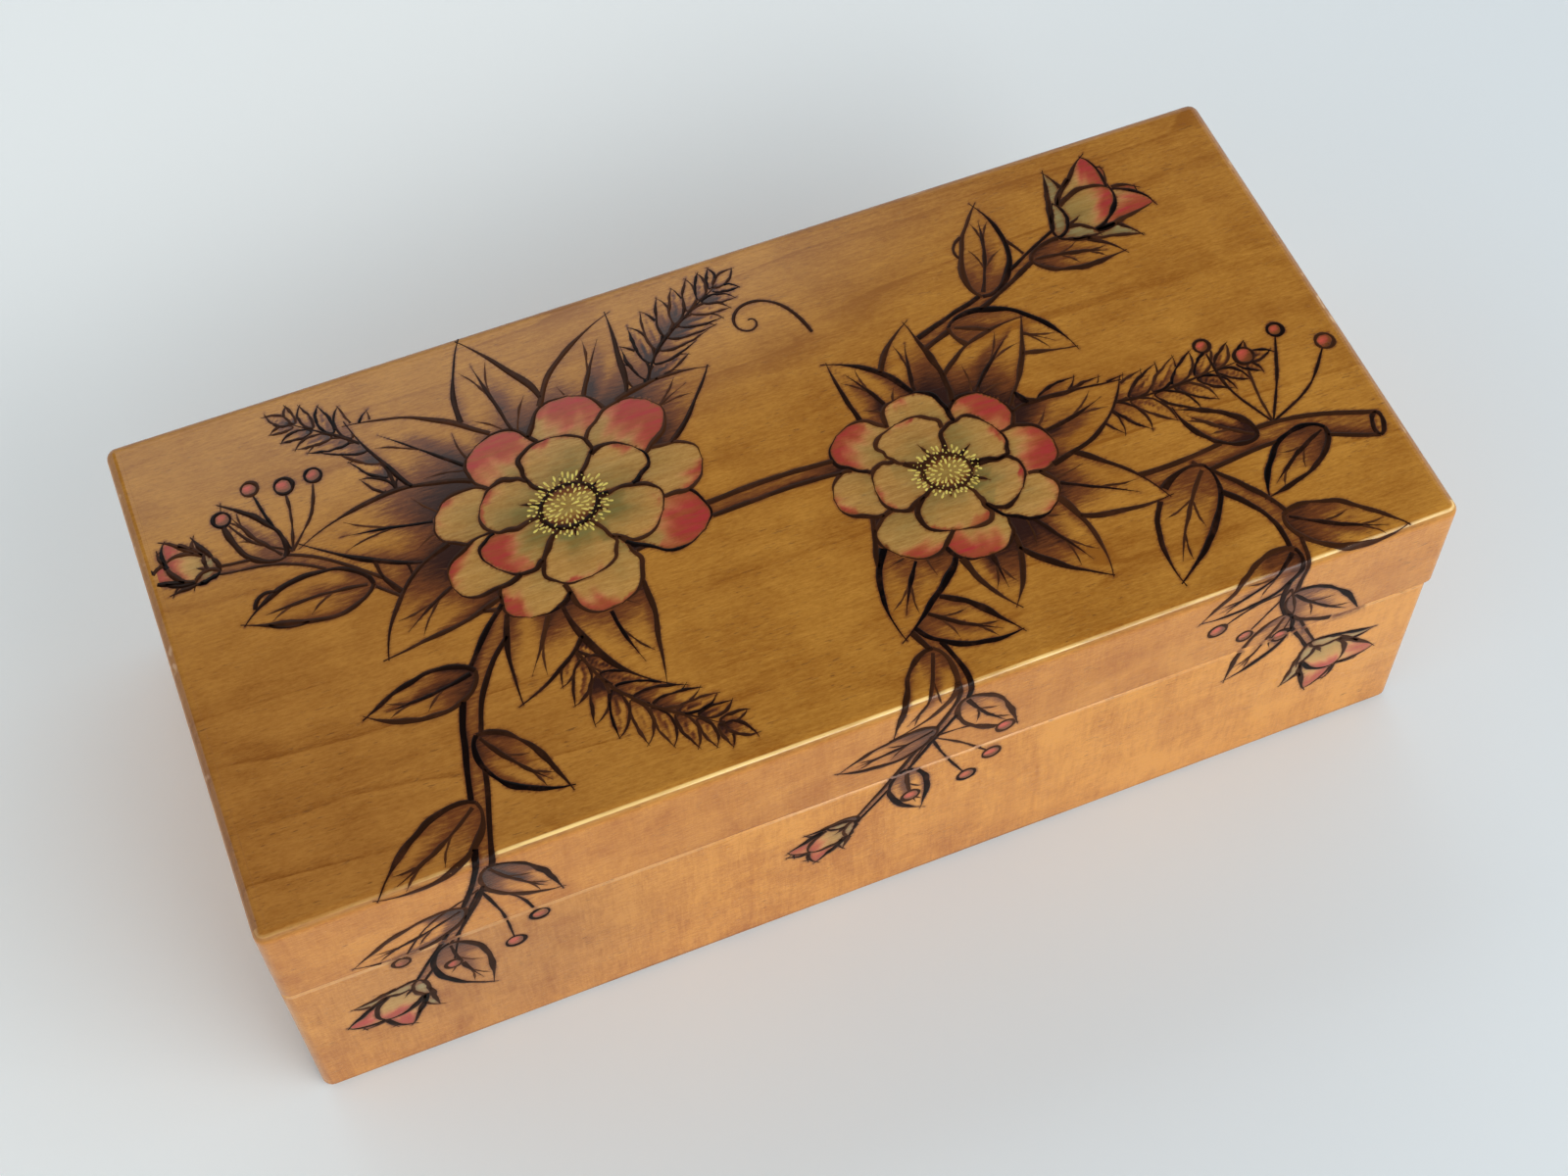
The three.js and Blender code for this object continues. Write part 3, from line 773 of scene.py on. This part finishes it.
def wood(name, colours, board, along="x", art=False, crown=None, painted_light=(), painted_shade=None):
    """Varnished wood. crown gives the colours of a lid's rim, which has the top board's figure."""
    net = Finish(name)
    place, seed = net.place, board["seed"]
    x, _, level = net.axes(net.place)
    if along == "y":
        turned = {"Vector": place, "Angle": math.pi / 2}
        place = net.add("VectorRotate", turned, rotation_type="Z_AXIS").outputs[0]
    figure = grain(net, place, **board)
    if crown:
        on_top = net.band(level, 60.4, 61.3)
        pairs = zip(figure, grain(net, net.place, **TOP_BOARD))
        figure = [net.add("Mix", {0: on_top, 2: a, 3: b}).outputs[0] for a, b in pairs]
        colours = [net.mix(on_top, *pair) for pair in zip(colours, crown)]
    tone, pores, fibre = figure
    colour = net.mix(net.math("ADD", tone, 0.0, clamp=True), *colours)
    colour = net.mix(net.times(pores, 0.55), colour, PORE)
    # Painted shade over the rounded rim of the lid's walls, with worn tan chips in it
    if crown and not art:
        edge = net.times(net.band(level, 60.5, 61.2), net.band(level, 61.8, 61.99, 1, 0))
        colour = net.mix(net.times(edge, 0.42), colour, PAINTED_SHADE_BROWN)
        chip = net.band(net.noise((0.10, 0.22, 0.6), 2, 0.5, seed + 21), 0.64, 0.74)
        colour = net.mix(net.times(chip, edge, 0.6), colour, WORN_TAN)
    # Painted shade, darker towards one place
    if painted_shade:
        middle, near, far, tint = painted_shade
        away = net.vector("DISTANCE", net.place, middle, output=1)
        amount = net.band(away, near, far, 1, 0)
        if crown:
            amount = net.times(amount, on_top)
        colour = net.mix(amount, colour, net.mix(1.0, colour, tint, "MULTIPLY"))
    # Bands of painted highlight and painted shade by height, broken up in patches
    for number, (at, reach, strength, tint, start) in enumerate(painted_light):
        close = net.band(net.math("ABSOLUTE", net.plus(level, -at)), reach, reach * 0.4)
        patchy = net.noise((0.03, 0.09, 0.5), 3, 0.7, seed + 13 + number, 0.0, place)
        broken = net.band(patchy, 0.36, 0.6, 0.25, 1.0)
        run = net.band(x, start - 25, start, 0.2, 1.0)
        colour = net.mix(net.times(close, broken, run, strength), colour, tint)
    # Nibs of dust under the varnish
    cells = net.vector("MULTIPLY", net.place, (0.42, 0.42, 0.42))
    spots = net.add("TexVoronoi", {"Vector": cells, "Scale": 1.0}).outputs["Distance"]
    nibs = net.times(net.band(spots, 0.05, 0.13, 1, 0), net.band(net.patches(seed), 0.5, 0.6))
    height = net.plus(net.times(fibre, 1.1), net.times(pores, -0.8), net.times(nibs, 1.4))
    if art:
        colour, height = drawn_over(net, place, seed, fibre, colour, height)
    roughness = net.band(net.patches(seed + 1), 0.3, 0.7, 0.26, 0.4)
    coat = dict(Coat_Weight=0.55, Coat_Roughness=0.08, Coat_IOR=1.5)
    return net.done(colour, (height, 0.07, 0.7), Roughness=roughness, IOR=1.45, Specular=0.06, **coat)


def burnt(name):
    """Charred strokes, from black to brown, with a little gloss."""
    net = Finish(name)
    patchy = net.noise((0.3, 0.3, 0.3), 3, 0.6, 3)
    fine = net.noise((2.0, 4.0, 4.0), 3, 0.6, 4)
    tone = net.band(net.plus(net.times(patchy, 0.75), net.times(fine, 0.25)), 0.46, 0.72)
    colour = net.mix(net.attribute("faint")["Fac"], net.mix(tone, STROKE_BLACK, STROKE_WARM), STROKE_FAINT)
    rough = net.band(fine, 0.3, 0.7, 0.35, 0.5)
    coat = dict(Coat_Weight=0.12, Coat_Roughness=0.06)
    return net.done(colour, (fine, 0.02, 0.5), Roughness=rough, Specular=0.015, **coat)


def dabbed(name):
    net = Finish(name)
    fine = net.noise((1.2, 1.2, 1.2), 2, 0.6, 7)
    colour = net.mix(net.band(fine, 0.35, 0.65), DAB_YELLOW, DAB_OCHRE)
    return net.done(colour, (fine, 0.05, 0.4), Roughness=0.4, Coat_Weight=0.3, Coat_Roughness=0.15)


def brass(name, seed):
    net = Finish(name)
    brushed = net.noise((0.25, 9.0, 9.0), 3, 0.6, seed)
    cloudy = net.noise((0.22, 0.3, 0.3), 3, 0.6, seed + 1)
    colour = net.mix(net.band(cloudy, 0.35, 0.7), BRASS_BRIGHT, BRASS_DULL)
    roughness = net.plus(net.band(cloudy, 0.3, 0.7, 0.26, 0.42), net.swing(brushed, 0.12))
    return net.done(colour, (brushed, 0.01, 0.5), Metallic=1.0, Roughness=roughness)


def felt(name, seed):
    """Matted fibres that cross each other, with a soft sheen."""
    net = Finish(name)
    fuzz = net.noise((1.5, 1.5, 1.5), 5, 0.75, seed, 1.2)
    strands = net.noise((0.6, 2.6, 2.0), 3, 0.7, seed + 1, 2.5)
    crossed = net.noise((2.6, 0.6, 2.0), 3, 0.7, seed + 4, 2.5)
    cloudy = net.noise((0.05, 0.07, 0.07), 3, 0.5, seed + 2)
    pile = net.plus(net.times(fuzz, 0.4), net.times(strands, 0.3), net.times(crossed, 0.3))
    colour = net.mix(net.band(net.plus(pile, net.swing(cloudy, 0.10)), 0.36, 0.66), FELT_DARK, FELT_LIGHT)
    sheen = dict(Sheen_Weight=0.3, Sheen_Roughness=0.45, Sheen_Tint=FELT_SHEEN)
    return net.done(colour, (pile, 0.5, 0.8), Roughness=0.95, Specular=0.2, **sheen)


def pale(name):
    """A plain floor, with painted light that makes it a little lighter towards the back."""
    net = Finish(name)
    back = net.vector("DOT_PRODUCT", net.place, (-0.7, 0.7, 0.0), output=1)
    colour = net.mix(net.band(back, -140, 170), FLOOR_COLOUR, FLOOR_BACK_PAINTED_LIGHT)
    return net.done(colour, Roughness=0.9, Specular=0.15)


# Boards that carry the drawing

EDGE_ROUND = 1.8            # the lid's rounded top edge
ARC = math.pi / 2 * EDGE_ROUND
LID_TOP = 62.0
ROUND_START = LID_TOP - EDGE_ROUND
FRONT = -50.0
SEAM = 39.55
FRONT_START = FRONT_EDGE - ARC            # where the drawing goes from the rounded edge to the front
SEAM_LINE = FRONT_START - (ROUND_START - SEAM)
CELL = 0.5                  # side of a board's closest cells
EASED = 0.02                # how far the top panel's edges are eased
RIM_HEIGHT = 2.2            # how much of the lid's front board counts as its rim
FRONT_DEPTH = 2.6           # how far back from its face that rim carries the drawing


def surface(x, v, height):
    """Points on the box, height mm proud of it, for the drawing's x and v."""
    turn = np.clip((FRONT_EDGE - v) / EDGE_ROUND, 0, math.pi / 2)
    reach = EDGE_ROUND + height
    y = np.maximum(v, FRONT_EDGE) - reach * np.sin(turn)
    z = ROUND_START + reach * np.cos(turn) - np.maximum(FRONT_START - v, 0)
    return np.stack([x, y, z], -1) * MM


def unfold(points):
    """The drawing's x and v for points on the box, in mm."""
    x, y, z = points.T
    turn = np.clip(np.arctan2(FRONT_EDGE - y, np.maximum(z - ROUND_START, 1e-6)), 0, math.pi / 2)
    v = FRONT_EDGE - EDGE_ROUND * turn - np.maximum(ROUND_START - z, 0)
    return x, np.where(y > FRONT_EDGE, y, v)


def add_values(mesh, name, kind, values):
    """Stores one value for each vertex, for the materials to read."""
    key = "color" if kind == "FLOAT_COLOR" else "value"
    mesh.attributes.new(name, kind, "POINT").data.foreach_set(key, np.ravel(values).astype(np.float32))


def take_drawing(mesh, drawn):
    """Gives the mesh the drawing's paint and scorch, between their cells, where drawn is true."""
    points = np.array([vertex.co for vertex in mesh.vertices]) / MM
    x, v = unfold(points)
    col = np.clip((x + HALF_LENGTH) / STEP, 0, len(GRID_X) - 1.001)
    row = np.clip((v - LOW) / STEP, 0, len(GRID_V) - 1.001)
    c, r = col.astype(int), row.astype(int)
    a, b = (col - c)[:, None], (row - r)[:, None]
    field = np.dstack([PAINT, SCORCH])
    low = field[r, c] * (1 - a) + field[r, c + 1] * a
    high = field[r + 1, c] * (1 - a) + field[r + 1, c + 1] * a
    values = np.where(drawn(points)[:, None], low * (1 - b) + high * b, 0)
    add_values(mesh, "paint", "FLOAT_COLOR", values[:, :4])
    add_values(mesh, "scorch", "FLOAT", values[:, 4])


def dress(mesh, material, sharp=None):
    """Gives the mesh one material, and smooth shading up to an angle in degrees."""
    mesh.materials.clear()
    mesh.materials.append(material)
    if sharp:
        mesh.shade_smooth()
        mesh.set_sharp_from_angle(angle=math.radians(sharp))


def shown(data):
    """An object in the scene for a mesh, lamp or camera, under its own name."""
    made = bpy.data.objects.new(data.name, data)
    bpy.context.scene.collection.objects.link(made)
    return made


def new_piece(mesh, body, material, sharp):
    piece = shown(mesh)
    dress(mesh, material, sharp)
    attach(piece, body)
    return piece


def new_mesh(name, vertices, faces):
    mesh = bpy.data.meshes.new(name)
    mesh.from_pydata(vertices, [], faces)
    mesh.update()
    return mesh


def tube(rings):
    """The vertices and faces of a closed skin over rings of points."""
    count, around = rings.shape[:2]
    index = np.arange(count * around).reshape(count, around)
    turned = np.roll(index, -1, axis=1)
    faces = np.stack([index[:-1], index[1:], turned[1:], turned[:-1]], -1).reshape(-1, 4).tolist()
    return rings.reshape(-1, 3), [*faces, index[0].tolist(), index[-1][::-1].tolist()]


def top_board(material):
    """The lid's top panel, with a close grid on its upper face for the drawing."""
    low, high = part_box("lid_top_panel")
    lines = [np.linspace(a, b, round((b - a) / (CELL * MM)) + 1) for a, b in zip(low[:2], high[:2])]
    gx, gy = np.meshgrid(*lines)
    gz = np.full_like(gx, high[2])
    eased = EASED * MM
    gz[0] = gz[-1] = high[2] - eased
    gz[:, 0] = gz[:, -1] = high[2] - eased
    gx[:, 1], gx[:, -2] = low[0] + 2 * eased, high[0] - 2 * eased
    gy[1], gy[-2] = low[1] + 2 * eased, high[1] - 2 * eased
    vertices = np.stack([gx, gy, gz], -1).reshape(-1, 3)
    index = np.arange(len(vertices)).reshape(gx.shape)
    faces = np.stack([index[:-1, :-1], index[:-1, 1:], index[1:, 1:], index[1:, :-1]], -1).reshape(-1, 4)
    ring = np.concatenate([index[0, :-1], index[:-1, -1], index[-1, :0:-1], index[:0:-1, 0]])
    below = np.arange(len(ring)) + len(vertices)
    bottom = vertices[ring].copy()
    bottom[:, 2] = low[2]
    sides = np.stack([ring, below, np.roll(below, -1), np.roll(ring, -1)], -1)
    faces = [*faces.tolist(), *sides.tolist(), below[::-1].tolist()]
    mesh = new_mesh("lid_top_board", np.vstack([vertices, bottom]), faces)
    take_drawing(mesh, lambda p: p[:, 2] > LID_TOP - 0.5)
    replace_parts(new_piece(mesh, "lid", material, 15), "lid_top_panel")


def sliced(mesh, faces, axis, cuts):
    """Cuts the faces by planes across an axis, halving the set each time."""
    if not cuts or not faces:
        return faces
    middle = len(cuts) // 2
    at = cuts[middle]
    normal = Vector([float(i == axis) for i in range(3)])
    edges = {e for f in faces for e in f.edges}
    verts = {v for f in faces for v in f.verts}
    made = bmesh.ops.bisect_plane(
        mesh, geom=[*faces, *edges, *verts], dist=1e-7, plane_co=normal * at, plane_no=normal
    )
    faces = {g for g in made["geom"] if isinstance(g, bmesh.types.BMFace)}
    low = [f for f in faces if f.calc_center_median()[axis] < at]
    high = [f for f in faces if f.calc_center_median()[axis] >= at]
    return sliced(mesh, low, axis, cuts[:middle]) + sliced(mesh, high, axis, cuts[middle + 1 :])


def front_board(name, node, body, material):
    """A front wall as the CAD has it, with close cells on its outside for the drawing."""
    mesh = bmesh.new()
    mesh.from_mesh(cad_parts[node].data)
    bmesh.ops.remove_doubles(mesh, verts=mesh.verts, dist=1e-6)
    bmesh.ops.dissolve_limit(mesh, angle_limit=0.001, verts=mesh.verts, edges=mesh.edges)
    low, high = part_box(node)
    rim = high.z - RIM_HEIGHT * MM

    def outside(face):
        on_rim = face.normal.z > 0.1 and face.calc_center_median().z > rim
        return face.normal.y < -0.3 or (on_rim and body == "lid")

    # Cut across z below the rounded edge, across y behind it, and across x all along
    chosen = [face for face in mesh.faces if outside(face)]
    behind = low.y + 2 * MM
    steps = [(2, low.z, high.z - 1.9 * MM), (1, behind, low.y + FRONT_DEPTH * MM), (0, low.x, high.x)]
    for axis, start, end in steps:
        count = int((end - start) / (CELL * MM))
        chosen = sliced(mesh, chosen, axis, [start + (end - start) * i / count for i in range(1, count)])
    made = bpy.data.meshes.new(name)
    mesh.to_mesh(made)
    mesh.free()
    made.polygons.foreach_set("material_index", [0] * len(made.polygons))
    take_drawing(made, lambda p: (p[:, 1] < FRONT + FRONT_DEPTH) & (p[:, 2] > 0.6))
    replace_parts(new_piece(made, body, material, 20), node)


# Burnt lines and dabs, a little proud of the wood

SECTION = ((-1.0, -0.06), (-0.88, 0.016), (-0.5, 0.034), (0.5, 0.034), (0.88, 0.016), (1.0, -0.06))
STROKE_ENDS = {"lid": 103.2, "base": 102.2}         # strokes stop short of the rounded corners
SEAM_GAP = 0.32             # and of the seam
DAB_HALVES = np.array([0.1, 0.17, 0.24, 0.15])


def bead(points, width, rise=1.0):
    """A ribbon's vertices and faces along a line of the drawing. SECTION gives its section."""
    n = normals(points)
    rings = []
    for across, height in SECTION:
        lifted = height * np.minimum(1, width / 0.35) * rise if height > 0 else height
        rings.append(surface(*(points + n * (width * across)[:, None]).T, lifted))
    return tube(np.stack(rings, 1))


def joined(name, beads):
    """One mesh from many ribbons."""
    vertices, faces, total = [], [], 0
    for made, made_faces in beads:
        vertices.append(made)
        faces += [[i + total for i in face] for face in made_faces]
        total += len(made)
    return new_mesh(name, np.vstack(vertices), faces)


def line_pieces(runs, material):
    """The burnt strokes as one piece on the lid and one on the base."""
    for body, side in (("lid", 1), ("base", -1)):
        beads, faint = [], []
        for points, width, tone in runs:
            x, v = points.T
            kept = (side * (v - SEAM_LINE) >= SEAM_GAP) & (np.abs(x) < STROKE_ENDS[body]) & (v > LOW + 0.9)
            for a, b in stretches(kept):
                beads.append(bead(points[a:b], width[a:b]))
                faint += [1 - tone] * len(beads[-1][0])
        mesh = joined(f"{body}_burnt_lines", beads)
        add_values(mesh, "faint", "FLOAT", faint)
        new_piece(mesh, body, material, 60)


def dab_piece(material):
    share = np.linspace(0, 1, len(DAB_HALVES))[:, None]
    beads = [bead(start + (end - start) * share, DAB_HALVES, 1.6) for start, end in dabs]
    new_piece(joined("lid_flower_dabs", beads), "lid", material, 60)


# Linings

PAD_CORNER, PAD_LIP, PAD_CROWN = 3.0, 0.9, 0.5
CROWN_REACH = 26            # how far in from its edge a pad rises
CROWN_INSETS = (1.6, 2.6, 4, 6, 8.5, 12, 17, 23, 30, 37)


def rounded_outline(low, high, inset):
    """A rectangle with rounded corners, inset mm within another."""
    middle, half = (low + high) / 2, (high - low) / 2 - max(PAD_CORNER, inset + 0.15)
    bend = max(PAD_CORNER - inset, 0.15)
    points = []
    for k, corner in enumerate(((1, -1), (1, 1), (-1, 1), (-1, -1))):
        for i in range(9):
            points.append(middle + half * corner + bend * way(math.pi / 2 * (k - 1 + i / 8)))
    return points


def pad(name, node, body, material, up):
    """A card pad wrapped in felt: rounded edges and a low crown towards its middle."""
    low, high = (np.array(corner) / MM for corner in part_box(node))
    base = low[2] if up > 0 else high[2]
    lip_top = high[2] - low[2] - PAD_CROWN
    drop = PAD_LIP * 0.8
    profile = [(0.5, 0.0), (0.12, 0.16), (0.0, 0.45), (0.0, lip_top - drop)]
    for i in range(1, 5):
        turn = math.pi / 2 * i / 4
        profile.append((PAD_LIP * (1 - math.cos(turn)), lip_top - drop * (1 - math.sin(turn))))
    for inset in CROWN_INSETS:
        profile.append((inset, lip_top + PAD_CROWN * (1 - (1 - min(inset / CROWN_REACH, 1)) ** 2.2)))
    rings = []
    for inset, height in profile:
        x, y = np.transpose(rounded_outline(low[:2], high[:2], inset))
        ripple = 0.05 * np.sin(x * 0.11 + y * 0.06) * np.sin(y * 0.13 + 1.0) * min(inset / 10, 1)
        rings.append(np.stack([x, y, base + up * (height + np.minimum(ripple, 0))], 1))
    vertices, faces = tube(np.array(rings) * MM)
    if up > 0:
        faces = [face[::-1] for face in faces]
    piece = new_piece(new_mesh(name, vertices, faces), body, material, 50)
    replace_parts(piece, node)


# The whole

runs = visible()
halo(runs)

top_board(wood("top board", TOP_COLOURS, TOP_BOARD, art=True, painted_shade=TOP_PAINTED_SHADE))
lid_front = wood("lid front board", LID_COLOURS, LID_FRONT, art=True, crown=RIM_COLOURS, painted_light=LID_PAINTED_LIGHT,
                 painted_shade=TOP_PAINTED_SHADE)
front_board("lid_front_board", "lid_front_wall", "lid", lid_front)
base_front = wood("base front board", BASE_COLOURS, BASE_FRONT, art=True, painted_light=BASE_PAINTED_LIGHT, painted_shade=FRONT_PAINTED_SHADE)
front_board("base_front_board", "base_front_wall", "base", base_front)
line_pieces(runs, burnt("burnt line"))
dab_piece(dabbed("flower dab"))

for number, (node, (along, heart, spacing)) in enumerate(PLAIN_BOARDS.items()):
    name = node.replace("_", " ")
    board = dict(seed=number + 4, heart=heart, spacing=spacing, rings=0.7, flecks=0.12)
    if node.startswith("lid"):
        material = wood(name, LID_COLOURS, board, along, crown=TOP_COLOURS, painted_light=[SEAM_PAINTED_SHADE], painted_shade=TOP_PAINTED_SHADE)
    else:
        material = wood(name, BASE_COLOURS, board, along, painted_light=BASE_PAINTED_LIGHT)
    dress(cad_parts[node].data, material)

metal = brass("hinge brass", 5)
screw_metal = brass("screw brass", 8)
for node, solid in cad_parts.items():
    if "_hinge_" in node:
        dress(solid.data, screw_metal if "screw" in node else metal, 30)

cloth = felt("wine felt", 3)
pad("floor_pad", "floor_lining", "base", cloth, 1)
pad("lid_pad", "lid_lining", "lid", cloth, -1)

# Floor, light and camera

FLOOR_SIZE, FLOOR_GAP = 6, 0.0003                 # in metres, the gap below the box
bpy.ops.mesh.primitive_plane_add(size=FLOOR_SIZE, location=(0, 0, -FLOOR_GAP))
floor = bpy.context.object
floor.name = "floor"
dress(floor.data, pale("pale floor"))

TO_WINDOW = Vector((0.46, -0.68, 0.57)).normalized()
light = bpy.data.lights.new("window", "AREA")
light.shape = "RECTANGLE"
light.size, light.size_y = 0.8, 0.3
light.energy = 3.1
light.color = (1.0, 0.97, 0.93)
window = shown(light)
window.location = TO_WINDOW * 0.9
window.rotation_mode = "QUATERNION"
window.rotation_quaternion = TO_WINDOW.to_track_quat("Z", "Y")

LIT_SIDE = Vector((0.6, -0.8, 0.0))               # the room is brighter to the front right
world = bpy.data.worlds.new("room")
world.use_nodes = True
sky = Net(world.node_tree)
out = sky.add("TexCoord").outputs["Generated"]
across, behind, height = sky.axes(out)
room = sky.band(height, 0.45, 0.78, 1.6, 0.12)
side = sky.plus(1.0, sky.times(sky.vector("DOT_PRODUCT", out, LIT_SIDE, output=1), 0.15))
wall = sky.times(
    sky.band(behind, 0.553, 0.605, 0.0, 2.4),       # a pale wall high at the back
    sky.band(height, 0.64, 0.74),
    sky.band(across, -0.25, -0.12),
    sky.band(across, 0.18, 0.36, 1, 0),
)
backdrop = sky.tree.nodes["Background"].inputs
sky.put(backdrop["Color"], (0.96, 0.985, 1.0, 1))
sky.put(backdrop["Strength"], sky.plus(sky.times(room, side), wall))
bpy.context.scene.world = world

# The camera: its turns in degrees, outermost first, and what it aims at and from how far, in metres
TURNS = ((-19.90, "Z"), (90 - 58.11, "X"), (-2.07, "Z"))
AIM, DISTANCE = Vector((0.00672, 0.015036, 0)), 0.481593
PHOTO_WIDTH, FOCAL, SENSOR = 1600, 2515, 36         # the first two in pixels, the last in mm
turned = Matrix.Identity(4)
for angle, axis in TURNS:
    turned = turned @ Matrix.Rotation(math.radians(angle), 4, axis)
camera = shown(bpy.data.cameras.new("camera"))
camera.matrix_world = Matrix.Translation(AIM + turned @ Vector((0, 0, DISTANCE))) @ turned
camera.data.sensor_width = SENSOR
camera.data.lens = FOCAL * SENSOR / PHOTO_WIDTH
camera.data.clip_start = 0.01
camera.data.clip_end = 20
bpy.context.scene.camera = camera
bpy.context.scene.view_settings.view_transform = "Standard"
